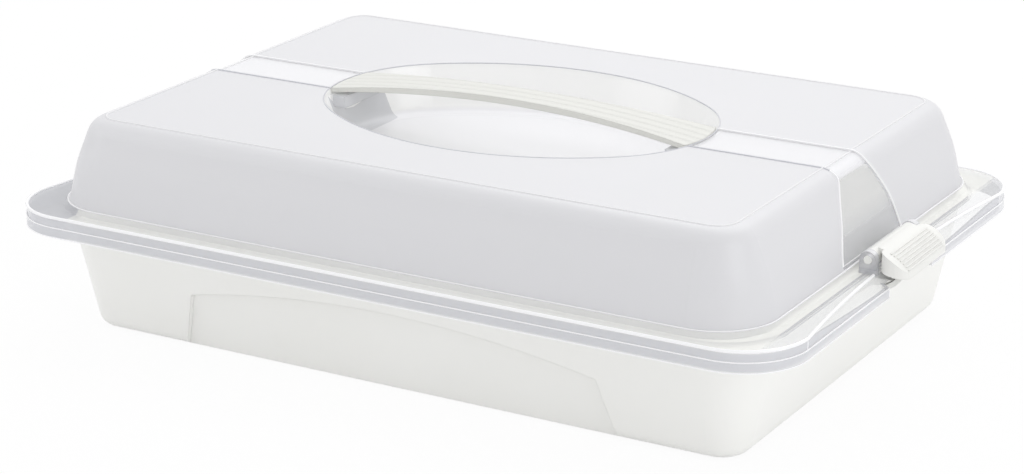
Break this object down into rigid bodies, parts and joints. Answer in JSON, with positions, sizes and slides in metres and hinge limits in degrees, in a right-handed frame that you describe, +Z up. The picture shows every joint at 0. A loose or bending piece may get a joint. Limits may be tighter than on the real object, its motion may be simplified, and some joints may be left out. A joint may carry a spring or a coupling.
{
  "type": "cake carrier",
  "caption": "Low white cake carrier with a frosted clear hood, turning end clips and an arched handle over an oval hand recess",
  "frame": {"origin": "on the ground under the middle of the tub", "axes": "+X along the long side toward the right clip, +Y toward the back, +Z up"},
  "size_m": [0.4394, 0.2962, 0.1162],
  "materials": {
    "white_plastic": "moulded polypropylene, fine satin",
    "frosted_plastic": "translucent polypropylene, frosted walls with clear windows, band and flange",
    "handle_plastic": "moulded polypropylene, satin",
    "clip_plastic": "moulded polypropylene, satin, ribbed thumb end"
  },
  "bodies": {
    "base": {"base_tub": "white_plastic"},
    "hood": {"hood": "frosted_plastic", "handle": "handle_plastic"},
    "left_clip": {"left_clip": "clip_plastic"},
    "right_clip": {"right_clip": "clip_plastic"}
  },
  "joints": [
    {"name": "hood_lift", "type": "slide", "parent": "base", "child": "hood", "axis": [0, 0, 1], "range_m": [0, 0.13]},
    {"name": "right_clip_turn", "type": "hinge", "parent": "hood", "child": "right_clip", "pos_m": [0.2005, 0, 0.072], "axis": [0, -1, 0], "range_deg": [0, 100]},
    {"name": "left_clip_turn", "type": "hinge", "parent": "hood", "child": "left_clip", "pos_m": [-0.2005, 0, 0.072], "axis": [0, 1, 0], "range_deg": [0, 100]}
  ]
}
